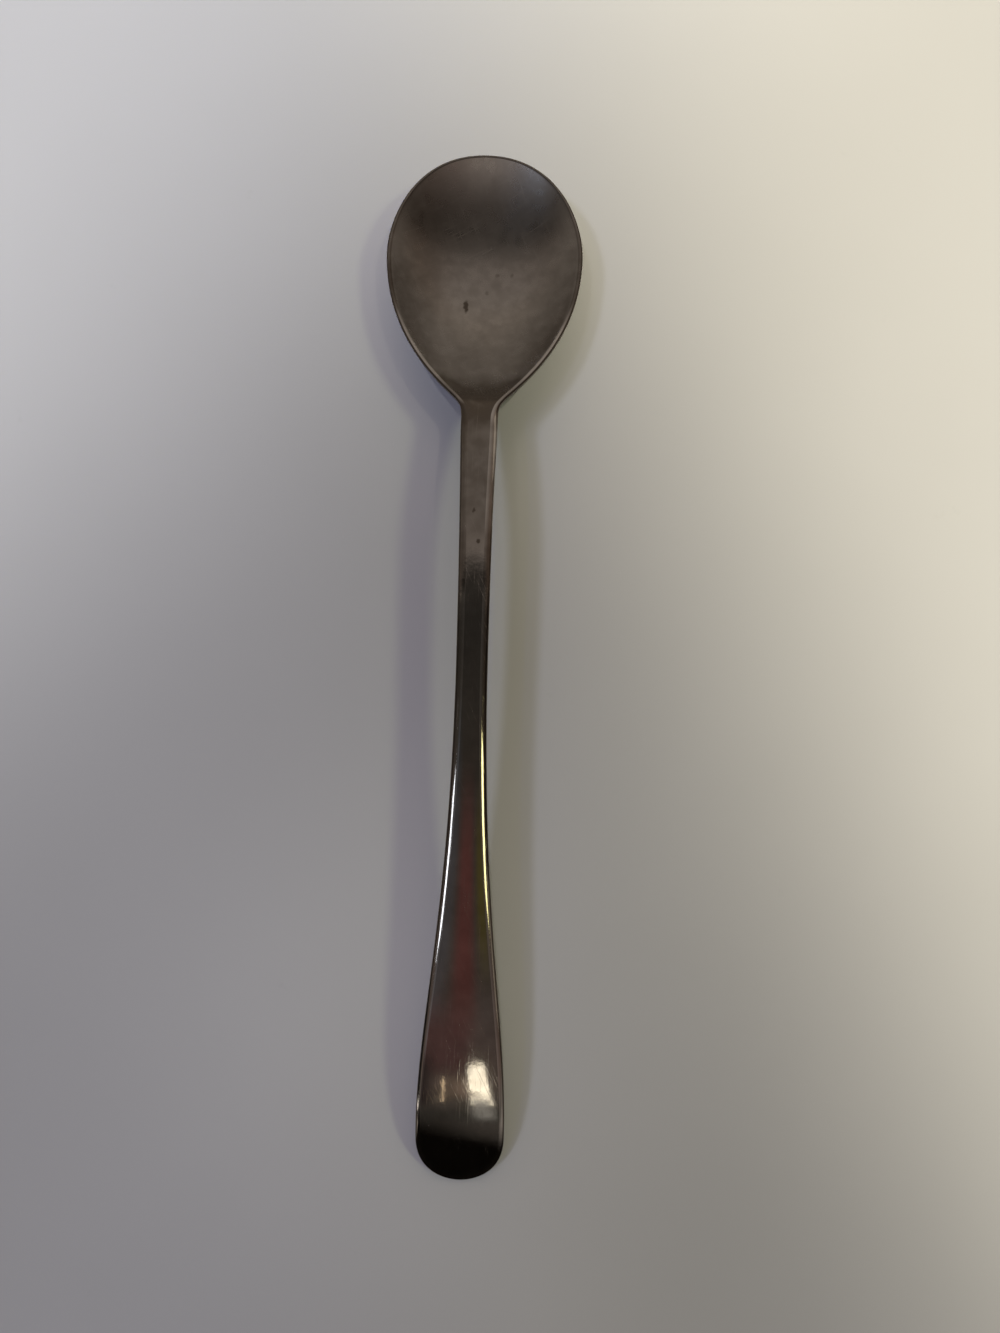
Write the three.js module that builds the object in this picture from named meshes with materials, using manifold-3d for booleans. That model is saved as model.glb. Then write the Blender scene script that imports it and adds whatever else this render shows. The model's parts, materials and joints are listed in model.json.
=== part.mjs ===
// A silver-plated spoon lying face up, as one stamped blank and the silver coat bonded to it.
// Millimetres, +Z up, resting plane at Z 0, bowl towards +Y, handle towards -Y, mirrored about X 0.

import * as THREE from 'three';
import { LoftGeometry } from 'three/addons/geometries/LoftGeometry.js';
import { mergeVertices } from 'three/addons/utils/BufferGeometryUtils.js';
import Module from 'manifold-3d';

// Lengths along the spoon, end to end from the bowl tip to the handle end
const TIP_TO_WIDEST = 14.5;
const WIDEST_TO_NECK = 21.3;
const NECK_FILLET_LENGTH = 2.8;
const STEM_TO_WAIST = 33.4;
const WAIST_TO_SPREAD = 70.3;
const SPREAD_TO_END = 7.7;

// Widths across the spoon
const BOWL_WIDTH = 28.2;
const NECK_WIDTH = 7;
const STEM_WIDTH = 5.2;
const WAIST_WIDTH = 4.4;
const SPREAD_WIDTH = 12.9;

// Heights of the upper edge above the table, and where along the handle they lie
const ARCH_HEIGHT = 12;
const STEM_TO_ARCH = 18.4;
const SHOULDER_HEIGHT = 8.3;
const SHOULDER_TO_END = 27;
const TURN_HEIGHT = 5.6;
const TURN_TO_END = 11.5;

// Bowl hollow
const BOWL_DEPTH = 5.1;
const HOLLOW_RUNOUT = 1.2;
const HOLLOW_FULLNESS = 2.3;
const HOLLOW_TIP_POWER = 1;
const HOLLOW_NECK_POWER = 1.2;

// Thickness at the edge, and the extra thickness along the middle of the back
const RIM_THICKNESS = 0.9;
const STEM_EDGE_THICKNESS = 1.5;
const END_THICKNESS = 1.2;
const BOWL_CROWN = 0.25;
const STEM_CROWN = 1.5;
const WAIST_CROWN = 1;
const SPREAD_CROWN = 0.5;

// Slight rise of the middle of the face above its edges
const STEM_FACE_CROWN = 0.06;
const END_FACE_CROWN = 0.2;

// Edges: a narrow land round the bowl, a bevel along the stem, a softened handle end
const RIM_LAND = 0.45;
const RIM_DROP = 0.12;
const BEVEL_WIDTH = 0.7;
const BEVEL_DROP = 0.35;
const END_BEVEL_WIDTH = 0.5;
const END_BEVEL_DROP = 0.22;
const BACK_ROUND_WIDTH = 0.35;
const BACK_ROUND_HEIGHT = 0.3;

// Silver coat, and how deep the two places that rub on the table are worn
const PLATE_THICKNESS = 0.04;
const WEAR_DEPTH = 0.2;

// Fullness of the outline's curves: how far each handle reaches along its stretch
const TIP_FULLNESS = 0.76;
const TIP_SIDE_FULLNESS = 0.33;
const BOWL_SIDE_FULLNESS = 0.6;
const NECK_REACH = 1.5;
const NECK_ANGLE = THREE.MathUtils.degToRad(39);
const STEM_START_FULLNESS = 0.2;
const STEM_END_FULLNESS = 0.75;
const FLARE_START_FULLNESS = 0.54;
const FLARE_END_FULLNESS = 0.28;
const END_SIDE_FULLNESS = 0.76;
const END_FULLNESS = 0.42;
const FILLET_FULLNESS = 2 / 3;

// Facets: steps along each outline curve, and columns across the face and the back
const CURVE_STEPS = [10, 12, 4, 7, 12, 11];
const FACE_COLUMNS = 10;
const BACK_COLUMNS = 6;

// Distances from the bowl tip
const widestAt = TIP_TO_WIDEST;
const neckAt = widestAt + WIDEST_TO_NECK;
const stemAt = neckAt + NECK_FILLET_LENGTH;
const archAt = stemAt + STEM_TO_ARCH;
const waistAt = stemAt + STEM_TO_WAIST;
const spreadAt = waistAt + WAIST_TO_SPREAD;
const spoonLength = spreadAt + SPREAD_TO_END;
const shoulderAt = spoonLength - SHOULDER_TO_END;
const turnAt = spoonLength - TURN_TO_END;
const hollowEnd = neckAt + HOLLOW_RUNOUT;
const deepestAt = hollowEnd * HOLLOW_TIP_POWER / (HOLLOW_TIP_POWER + HOLLOW_NECK_POWER);

// Heights that the two rest points settle: both bottoms reach the same depth below the table plane
const rimHeight = BOWL_DEPTH + RIM_THICKNESS + BOWL_CROWN - WEAR_DEPTH;
const endHeight = END_THICKNESS - WEAR_DEPTH;

const { lerp, smoothstep } = THREE.MathUtils;

// A smooth curve through pairs of distance from the bowl tip and value
function smoothThrough(pairs, endingStart = THREE.ZeroCurvatureEnding) {
  const distances = pairs.map((pair) => pair[0]);
  const values = pairs.map((pair) => pair[1]);
  const curve = new THREE.CubicInterpolant(distances, values, 1);
  curve.settings = { endingStart, endingEnd: THREE.ZeroCurvatureEnding };
  return (distance) => curve.evaluate(distance)[0];
}

const handleLine = smoothThrough([
  [archAt, ARCH_HEIGHT],
  [shoulderAt, SHOULDER_HEIGHT],
  [turnAt, TURN_HEIGHT],
  [spoonLength, endHeight],
], THREE.ZeroSlopeEnding);

// Upper edge: level round the bowl, up to the arch of the stem, then down to the turned handle end
function edgeHeight(distance) {
  if (distance > archAt) {
    return handleLine(distance);
  }
  return lerp(rimHeight, ARCH_HEIGHT, smoothstep(distance, deepestAt, archAt));
}

const edgeThickness = smoothThrough([
  [0, RIM_THICKNESS],
  [deepestAt, RIM_THICKNESS],
  [stemAt, STEM_EDGE_THICKNESS],
  [spreadAt, END_THICKNESS],
  [spoonLength, END_THICKNESS],
]);

const backCrown = smoothThrough([
  [0, 0],
  [deepestAt, BOWL_CROWN],
  [stemAt, STEM_CROWN],
  [waistAt, WAIST_CROWN],
  [spreadAt, SPREAD_CROWN],
  [spoonLength, 0],
]);

const faceCrown = smoothThrough([
  [0, 0],
  [neckAt, 0],
  [stemAt, STEM_FACE_CROWN],
  [waistAt, STEM_FACE_CROWN],
  [spreadAt, END_FACE_CROWN],
  [spoonLength, 0],
]);

// Depth of the hollow along the middle of the bowl, none from the neck on
function hollowDepth(distance) {
  const share = Math.min(distance / hollowEnd, 1);
  const shape = (at) => at ** HOLLOW_TIP_POWER * (1 - at) ** HOLLOW_NECK_POWER;
  return BOWL_DEPTH * shape(share) / shape(deepestAt / hollowEnd);
}

// A value that is one thing round the bowl, another along the stem and a third at the handle end
function bowlStemEnd(distance, bowl, stem, end) {
  const onStem = smoothstep(distance, neckAt, stemAt);
  const onEnd = smoothstep(distance, waistAt, spreadAt);
  return lerp(lerp(bowl, stem, onStem), end, onEnd);
}

// Right-hand outline seen from above, from the bowl tip to the handle end
function outlineCurves() {
  const tip = spoonLength / 2;
  const point = (width, distance) => new THREE.Vector2(width / 2, tip - distance);
  const neckPoint = point(NECK_WIDTH, neckAt);
  const neckAlong = new THREE.Vector2(Math.sin(NECK_ANGLE), Math.cos(NECK_ANGLE));
  const filletReach = FILLET_FULLNESS * (NECK_WIDTH - STEM_WIDTH) / 2 / Math.sin(NECK_ANGLE);
  const bowlTip = [
    point(0, 0),
    point(BOWL_WIDTH * TIP_FULLNESS, 0),
    point(BOWL_WIDTH, widestAt - TIP_TO_WIDEST * TIP_SIDE_FULLNESS),
    point(BOWL_WIDTH, widestAt),
  ];
  const bowlSide = [
    point(BOWL_WIDTH, widestAt),
    point(BOWL_WIDTH, widestAt + WIDEST_TO_NECK * BOWL_SIDE_FULLNESS),
    neckPoint.clone().addScaledVector(neckAlong, NECK_REACH),
    neckPoint,
  ];
  const neckFillet = [
    neckPoint,
    neckPoint.clone().addScaledVector(neckAlong, -filletReach),
    point(STEM_WIDTH, stemAt - NECK_FILLET_LENGTH * FILLET_FULLNESS),
    point(STEM_WIDTH, stemAt),
  ];
  const stem = [
    point(STEM_WIDTH, stemAt),
    point(STEM_WIDTH, stemAt + STEM_TO_WAIST * STEM_START_FULLNESS),
    point(WAIST_WIDTH, waistAt - STEM_TO_WAIST * STEM_END_FULLNESS),
    point(WAIST_WIDTH, waistAt),
  ];
  const flare = [
    point(WAIST_WIDTH, waistAt),
    point(WAIST_WIDTH, waistAt + WAIST_TO_SPREAD * FLARE_START_FULLNESS),
    point(SPREAD_WIDTH, spreadAt - WAIST_TO_SPREAD * FLARE_END_FULLNESS),
    point(SPREAD_WIDTH, spreadAt),
  ];
  const handleEnd = [
    point(SPREAD_WIDTH, spreadAt),
    point(SPREAD_WIDTH, spreadAt + SPREAD_TO_END * END_SIDE_FULLNESS),
    point(SPREAD_WIDTH * END_FULLNESS, spoonLength),
    point(0, spoonLength),
  ];
  return [bowlTip, bowlSide, neckFillet, stem, flare, handleEnd].map(
    (points) => new THREE.CubicBezierCurve(...points),
  );
}

// Places along the outline, each with its edge point and the direction out of the spoon
function outlineStations() {
  const stations = [];
  outlineCurves().forEach((curve, index) => {
    const steps = CURVE_STEPS[index];
    for (let step = index === 0 ? 0 : 1; step <= steps; step++) {
      const edge = curve.getPoint(step / steps);
      const along = curve.getTangent(step / steps);
      stations.push({ edge, outward: new THREE.Vector2(-along.y, along.x) });
    }
  });
  return stations;
}

// One closed section of the spoon, shrunk by an inset on every side: right side, face, left side, back
function section(station, inset) {
  const distance = spoonLength / 2 - station.edge.y;
  const within = (depth) => station.edge.clone().addScaledVector(station.outward, -depth);
  const side = within(inset);
  const face = within(bowlStemEnd(distance, RIM_LAND, BEVEL_WIDTH, END_BEVEL_WIDTH));
  const back = within(BACK_ROUND_WIDTH);
  const faceHeight = edgeHeight(distance) - inset;
  const backHeight = edgeHeight(distance) - edgeThickness(distance) + inset;
  const bevelDrop = bowlStemEnd(distance, RIM_DROP, BEVEL_DROP, END_BEVEL_DROP);
  const hollow = hollowDepth(distance);
  const faceRise = faceCrown(distance);
  const backRise = backCrown(distance);
  const hollowAt = (across) => hollow * (1 - Math.abs(across) ** HOLLOW_FULLNESS);

  const points = [];
  points.push(new THREE.Vector3(side.x, side.y, backHeight + BACK_ROUND_HEIGHT));
  points.push(new THREE.Vector3(side.x, side.y, faceHeight - bevelDrop));
  for (let column = 0; column <= FACE_COLUMNS; column++) {
    const across = 1 - 2 * column / FACE_COLUMNS;
    const sag = hollowAt(across) - faceRise * (1 - across ** 2);
    points.push(new THREE.Vector3(face.x * across, face.y, faceHeight - sag));
  }
  points.push(new THREE.Vector3(-side.x, side.y, faceHeight - bevelDrop));
  points.push(new THREE.Vector3(-side.x, side.y, backHeight + BACK_ROUND_HEIGHT));
  for (let column = 0; column <= BACK_COLUMNS; column++) {
    const across = 2 * column / BACK_COLUMNS - 1;
    const sag = hollowAt(across) + backRise * (1 - across ** 2);
    points.push(new THREE.Vector3(back.x * across, back.y, backHeight - sag));
  }
  return points;
}

const wasm = await Module();
wasm.setup();

// A closed surface as a solid: shared corners are merged and the empty triangles at the two tips dropped
function solidFrom(geometry) {
  const bare = new THREE.BufferGeometry();
  bare.setAttribute('position', geometry.attributes.position);
  bare.setIndex(geometry.index);
  const merged = mergeVertices(bare);
  const corners = merged.index.array;
  const triangles = [];
  for (let at = 0; at < corners.length; at += 3) {
    const [a, b, c] = corners.slice(at, at + 3);
    if (a !== b && b !== c && c !== a) {
      triangles.push(a, b, c);
    }
  }
  return new wasm.Manifold(new wasm.Mesh({
    numProp: 3,
    vertProperties: merged.attributes.position.array,
    triVerts: new Uint32Array(triangles),
  }));
}

function geometryFrom(solid) {
  const mesh = solid.getMesh();
  const geometry = new THREE.BufferGeometry();
  geometry.setAttribute('position', new THREE.BufferAttribute(mesh.vertProperties, 3));
  geometry.setIndex(new THREE.BufferAttribute(mesh.triVerts, 1));
  geometry.computeVertexNormals();
  return geometry;
}

// The whole spoon shrunk by an inset
function spoonSolid(inset) {
  return solidFrom(new LoftGeometry(outlineStations().map((station) => section(station, inset))));
}

// What lies below the resting plane, where the spoon is worn flat
function belowTable() {
  const thickness = rimHeight;
  const block = new THREE.BoxGeometry(2 * BOWL_WIDTH, 2 * spoonLength, thickness);
  block.translate(0, 0, -thickness / 2);
  return solidFrom(block);
}

function namedMesh(name, solid, material) {
  const mesh = new THREE.Mesh(geometryFrom(solid), material);
  mesh.name = name;
  return mesh;
}

const nickelSilver = new THREE.MeshStandardMaterial({ color: 0xb3a482, roughness: 0.35, metalness: 1 });
const wornSilver = new THREE.MeshStandardMaterial({ color: 0xb9b0a4, roughness: 0.2, metalness: 1 });

const wear = belowTable();
const blank = spoonSolid(PLATE_THICKNESS);
const coated = spoonSolid(0);

const spoon = new THREE.Group();
spoon.name = 'silver_plated_spoon';
spoon.add(
  namedMesh('base_metal_blank', blank.subtract(wear), nickelSilver),
  namedMesh('silver_plate', coated.subtract(blank).subtract(wear), wornSilver),
);

export default spoon;
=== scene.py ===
"""Looks of a silver-plated spoon that lies face up: two metals, a table top, a dim room and a camera."""

import json
import math
from bisect import bisect_right
from collections import namedtuple

import bmesh
import bpy
import numpy as np
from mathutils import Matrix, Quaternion, Vector


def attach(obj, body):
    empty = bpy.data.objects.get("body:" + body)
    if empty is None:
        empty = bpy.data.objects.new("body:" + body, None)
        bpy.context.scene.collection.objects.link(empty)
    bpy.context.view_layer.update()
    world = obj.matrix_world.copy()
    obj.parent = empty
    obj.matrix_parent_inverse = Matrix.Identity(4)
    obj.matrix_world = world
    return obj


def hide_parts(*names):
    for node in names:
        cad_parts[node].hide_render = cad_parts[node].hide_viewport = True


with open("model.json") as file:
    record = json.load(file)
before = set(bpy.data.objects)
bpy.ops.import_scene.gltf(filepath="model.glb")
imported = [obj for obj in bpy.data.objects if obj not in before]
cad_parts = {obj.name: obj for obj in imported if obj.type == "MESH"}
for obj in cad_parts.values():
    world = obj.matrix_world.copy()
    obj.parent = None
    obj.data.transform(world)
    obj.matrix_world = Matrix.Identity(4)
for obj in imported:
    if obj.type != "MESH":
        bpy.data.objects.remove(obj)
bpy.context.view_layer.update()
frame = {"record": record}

# One millimetre in scene units. The shape below is worked out in millimetres, as the solids are
MM = 0.001

# Lengths along the spoon, end to end from the bowl tip to the handle end
TIP_TO_WIDEST = 14.5
WIDEST_TO_NECK = 21.3
NECK_FILLET_LENGTH = 2.8
STEM_TO_WAIST = 33.4
WAIST_TO_SPREAD = 70.3
SPREAD_TO_END = 7.7

# Widths across the spoon
BOWL_WIDTH = 28.2
NECK_WIDTH = 7
STEM_WIDTH = 5.2
WAIST_WIDTH = 4.4
SPREAD_WIDTH = 12.9

# Heights of the upper edge above the table, and where along the handle they lie
ARCH_HEIGHT = 12
STEM_TO_ARCH = 18.4
SHOULDER_HEIGHT = 8.3
SHOULDER_TO_END = 27
TURN_HEIGHT = 5.6
TURN_TO_END = 11.5

# Bowl hollow, and the length over which its run-out into the neck is softened, by the mean of some samples
BOWL_DEPTH = 5.1
HOLLOW_RUNOUT = 1.2
HOLLOW_FULLNESS = 2.3
HOLLOW_TIP_POWER = 1
HOLLOW_NECK_POWER = 1.2
RUNOUT_SOFTENING = 1.6
RUNOUT_SAMPLES = 9

# Thickness at the edge, and the rise of the middle of the back and of the face
RIM_THICKNESS = 0.9
STEM_EDGE_THICKNESS = 1.5
END_THICKNESS = 1.2
BOWL_CROWN = 0.25
STEM_CROWN = 1.5
WAIST_CROWN = 1
SPREAD_CROWN = 0.5
STEM_FACE_CROWN = 0.06
END_FACE_CROWN = 0.2

# Edges: a narrow land round the bowl, a bevel along the stem, a softened handle end
RIM_LAND = 0.45
RIM_DROP = 0.12
BEVEL_WIDTH = 0.7
BEVEL_DROP = 0.35
END_BEVEL_WIDTH = 0.5
END_BEVEL_DROP = 0.22
BACK_ROUND_WIDTH = 0.35
BACK_ROUND_HEIGHT = 0.3

# Wear of the edges: the rim's land is narrow at the tip, the inner edge of each land or bevel is rounded
# over a share of its width, and the outer edges over a length
TIP_LAND = 0.26
RIM_ROUNDING_SHARE = 0.35
BEVEL_ROUNDING_SHARE = 0.45
SIDE_ROUNDING = 0.12

# Silver coat, and how deep the two places that rub on the table are worn
PLATE_THICKNESS = 0.04
WEAR_DEPTH = 0.2

# Fullness of the outline's curves: how far each handle reaches along its stretch
TIP_FULLNESS = 0.76
TIP_SIDE_FULLNESS = 0.33
BOWL_SIDE_FULLNESS = 0.6
NECK_REACH = 1.5
NECK_ANGLE = math.radians(39)
STEM_START_FULLNESS = 0.2
STEM_END_FULLNESS = 0.75
FLARE_START_FULLNESS = 0.54
FLARE_END_FULLNESS = 0.28
END_SIDE_FULLNESS = 0.76
END_FULLNESS = 0.42
FILLET_FULLNESS = 2 / 3

# Mesh detail: steps along each outline curve, columns from the middle to the edge and points in a rounded
# corner. Sections are looked up on an outline with steps of its own
Detail = namedtuple("Detail", "curve_steps face_columns back_columns corner_steps")
FINE = Detail((48, 56, 16, 40, 72, 44), 26, 16, 5)
COARSE = Detail((26, 30, 9, 20, 36, 24), 14, 9, 3)
LOOKUP_STEPS = (400,) * len(FINE.curve_steps)

# Distances from the bowl tip
WIDEST_AT = TIP_TO_WIDEST
NECK_AT = WIDEST_AT + WIDEST_TO_NECK
STEM_AT = NECK_AT + NECK_FILLET_LENGTH
ARCH_AT = STEM_AT + STEM_TO_ARCH
WAIST_AT = STEM_AT + STEM_TO_WAIST
SPREAD_AT = WAIST_AT + WAIST_TO_SPREAD
SPOON_LENGTH = SPREAD_AT + SPREAD_TO_END
SHOULDER_AT = SPOON_LENGTH - SHOULDER_TO_END
TURN_AT = SPOON_LENGTH - TURN_TO_END
HOLLOW_END = NECK_AT + HOLLOW_RUNOUT
DEEPEST_AT = HOLLOW_END * HOLLOW_TIP_POWER / (HOLLOW_TIP_POWER + HOLLOW_NECK_POWER)

# Heights that the two rest points settle
RIM_HEIGHT = BOWL_DEPTH + RIM_THICKNESS + BOWL_CROWN - WEAR_DEPTH
END_HEIGHT = END_THICKNESS - WEAR_DEPTH


def clamp(value, low=0.0, high=1.0):
    return min(max(value, low), high)


def lerp(start, end, share):
    return start + (end - start) * share


def smoothstep(value, low, high):
    share = clamp((value - low) / (high - low))
    return share * share * (3 - 2 * share)


def smooth_through(pairs, level_start=False):
    """A smooth curve through pairs of distance from the bowl tip and value, as a function of distance."""
    places, values = zip(*pairs)
    secants = [
        (next_value - value) / (next_place - place)
        for (place, value), (next_place, next_value) in zip(pairs, pairs[1:])
    ]
    slopes = [0 if level_start else secants[0]]
    slopes += [(before + after) / 2 for before, after in zip(secants, secants[1:])]
    slopes.append(secants[-1])

    def value_at(distance):
        left = int(clamp(bisect_right(places, distance) - 1, 0, len(pairs) - 2))
        span = places[left + 1] - places[left]
        share = clamp((distance - places[left]) / span)
        rest = 1 - share
        start = rest * rest * ((1 + 2 * share) * values[left] + share * span * slopes[left])
        end = share * share * ((1 + 2 * rest) * values[left + 1] - rest * span * slopes[left + 1])
        return start + end

    return value_at


handle_line = smooth_through(
    [
        (ARCH_AT, ARCH_HEIGHT),
        (SHOULDER_AT, SHOULDER_HEIGHT),
        (TURN_AT, TURN_HEIGHT),
        (SPOON_LENGTH, END_HEIGHT),
    ],
    level_start=True,
)
edge_thickness = smooth_through(
    [
        (0, RIM_THICKNESS),
        (DEEPEST_AT, RIM_THICKNESS),
        (STEM_AT, STEM_EDGE_THICKNESS),
        (SPREAD_AT, END_THICKNESS),
        (SPOON_LENGTH, END_THICKNESS),
    ]
)
back_crown = smooth_through(
    [
        (0, 0),
        (DEEPEST_AT, BOWL_CROWN),
        (STEM_AT, STEM_CROWN),
        (WAIST_AT, WAIST_CROWN),
        (SPREAD_AT, SPREAD_CROWN),
        (SPOON_LENGTH, 0),
    ]
)
face_crown = smooth_through(
    [
        (0, 0),
        (NECK_AT, 0),
        (STEM_AT, STEM_FACE_CROWN),
        (WAIST_AT, STEM_FACE_CROWN),
        (SPREAD_AT, END_FACE_CROWN),
        (SPOON_LENGTH, 0),
    ]
)


def edge_height(distance):
    """Upper edge: level round the bowl, up to the arch of the stem, then down to the turned handle end."""
    if distance > ARCH_AT:
        return handle_line(distance)
    return lerp(RIM_HEIGHT, ARCH_HEIGHT, smoothstep(distance, DEEPEST_AT, ARCH_AT))


def sharp_hollow_depth(distance):
    """Depth of the hollow along the middle of the bowl, none from the neck on."""
    def shape(at):
        return at**HOLLOW_TIP_POWER * (1 - at) ** HOLLOW_NECK_POWER

    return BOWL_DEPTH * shape(clamp(distance / HOLLOW_END)) / shape(DEEPEST_AT / HOLLOW_END)


def hollow_depth(distance):
    """The hollow's depth with its run-out into the neck softened."""
    sharp = sharp_hollow_depth(distance)
    shifts = np.linspace(-RUNOUT_SOFTENING, RUNOUT_SOFTENING, RUNOUT_SAMPLES)
    soft = np.mean([sharp_hollow_depth(distance + shift) for shift in shifts])
    return lerp(sharp, soft, smoothstep(distance, DEEPEST_AT, NECK_AT))


def bowl_stem_end(distance, bowl, stem, end):
    """A value that is one thing round the bowl, another along the stem and a third at the handle end."""
    on_stem = smoothstep(distance, NECK_AT, STEM_AT)
    on_end = smoothstep(distance, WAIST_AT, SPREAD_AT)
    return lerp(lerp(bowl, stem, on_stem), end, on_end)


def rim_land(distance):
    return lerp(TIP_LAND, RIM_LAND, smoothstep(distance, 0, WIDEST_AT))


def lip_width(distance):
    return bowl_stem_end(distance, rim_land(distance), BEVEL_WIDTH, END_BEVEL_WIDTH)


def lip_drop(distance):
    rim_drop = RIM_DROP * rim_land(distance) / RIM_LAND
    return bowl_stem_end(distance, rim_drop, BEVEL_DROP, END_BEVEL_DROP)


def lip_rounding(distance):
    return lip_width(distance) * bowl_stem_end(
        distance, RIM_ROUNDING_SHARE, BEVEL_ROUNDING_SHARE, BEVEL_ROUNDING_SHARE
    )


def outline_curves():
    """Right-hand outline seen from above, from the bowl tip to the handle end, as cubic Bezier curves."""
    def point(width, distance):
        return np.array((width / 2, SPOON_LENGTH / 2 - distance))

    neck_point = point(NECK_WIDTH, NECK_AT)
    neck_along = np.array((math.sin(NECK_ANGLE), math.cos(NECK_ANGLE)))
    fillet_reach = FILLET_FULLNESS * (NECK_WIDTH - STEM_WIDTH) / 2 / math.sin(NECK_ANGLE)
    bowl_tip = (
        point(0, 0),
        point(BOWL_WIDTH * TIP_FULLNESS, 0),
        point(BOWL_WIDTH, WIDEST_AT - TIP_TO_WIDEST * TIP_SIDE_FULLNESS),
        point(BOWL_WIDTH, WIDEST_AT),
    )
    bowl_side = (
        point(BOWL_WIDTH, WIDEST_AT),
        point(BOWL_WIDTH, WIDEST_AT + WIDEST_TO_NECK * BOWL_SIDE_FULLNESS),
        neck_point + NECK_REACH * neck_along,
        neck_point,
    )
    neck_fillet = (
        neck_point,
        neck_point - fillet_reach * neck_along,
        point(STEM_WIDTH, STEM_AT - NECK_FILLET_LENGTH * FILLET_FULLNESS),
        point(STEM_WIDTH, STEM_AT),
    )
    stem = (
        point(STEM_WIDTH, STEM_AT),
        point(STEM_WIDTH, STEM_AT + STEM_TO_WAIST * STEM_START_FULLNESS),
        point(WAIST_WIDTH, WAIST_AT - STEM_TO_WAIST * STEM_END_FULLNESS),
        point(WAIST_WIDTH, WAIST_AT),
    )
    flare = (
        point(WAIST_WIDTH, WAIST_AT),
        point(WAIST_WIDTH, WAIST_AT + WAIST_TO_SPREAD * FLARE_START_FULLNESS),
        point(SPREAD_WIDTH, SPREAD_AT - WAIST_TO_SPREAD * FLARE_END_FULLNESS),
        point(SPREAD_WIDTH, SPREAD_AT),
    )
    handle_end = (
        point(SPREAD_WIDTH, SPREAD_AT),
        point(SPREAD_WIDTH, SPREAD_AT + SPREAD_TO_END * END_SIDE_FULLNESS),
        point(SPREAD_WIDTH * END_FULLNESS, SPOON_LENGTH),
        point(0, SPOON_LENGTH),
    )
    return bowl_tip, bowl_side, neck_fillet, stem, flare, handle_end


Station = namedtuple("Station", "edge outward distance")


def outline_stations(curve_steps):
    """Places along the outline, each with its edge point, direction out of the spoon and distance."""
    stations = []
    for index, (curve, steps) in enumerate(zip(outline_curves(), curve_steps)):
        start, leaving, arriving, end = curve
        # Each later curve starts at the last point of the one before it
        first_step = min(index, 1)
        for step in range(first_step, steps + 1):
            share = step / steps
            rest = 1 - share
            edge = start * rest**3 + 3 * leaving * rest**2 * share
            edge = edge + 3 * arriving * rest * share**2 + end * share**3
            along = (leaving - start) * rest**2 + 2 * (arriving - leaving) * rest * share
            along = along + (end - arriving) * share**2
            along /= np.linalg.norm(along)
            outward = np.array((-along[1], along[0]))
            stations.append(Station(edge, outward, SPOON_LENGTH / 2 - edge[1]))
    return stations


def section_lookup(depth_at):
    """For a line set in from the outline: the distance and half width of its section at a place along."""
    stations = outline_stations(LOOKUP_STEPS)
    line = np.array([station.edge - depth_at(station.distance) * station.outward for station in stations])
    distances = [station.distance for station in stations]

    def section_at(along):
        return np.interp(-along, -line[:, 1], distances), np.interp(-along, -line[:, 1], line[:, 0])

    return section_at


face_section = section_lookup(lip_width)
back_section = section_lookup(lambda distance: BACK_ROUND_WIDTH)


def hollow_at(distance, across):
    """Depth of the hollow at a share of the way from the middle to the edge."""
    return hollow_depth(distance) * (1 - across**HOLLOW_FULLNESS)


def face_height(place):
    """Height of the upper face over a place in the plan."""
    distance, half_width = face_section(place[1])
    across = clamp(place[0] / half_width)
    crown = face_crown(distance) * (1 - across**2)
    return edge_height(distance) - hollow_at(distance, across) + crown


def back_height(place):
    """Height of the underside over a place in the plan."""
    distance, half_width = back_section(place[1])
    across = clamp(place[0] / half_width)
    crown = back_crown(distance) * (1 - across**2)
    return edge_height(distance) - edge_thickness(distance) - hollow_at(distance, across) - crown


def rounded_corner(before, corner, after, steps):
    """Points of a curve that rounds a corner, from one point beside it to another."""
    shares = np.linspace(0, 1, steps)
    return [before * (1 - at) ** 2 + 2 * corner * at * (1 - at) + after * at**2 for at in shares]


# Values stored on the points of the mesh for the material, and the marks of the two edges, where the
# material puts wear, painted shade and painted highlight
POINT_VALUES = ("edge", "across")
INNER_EDGE = 0.5
OUTER_EDGE = 1.0


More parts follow.
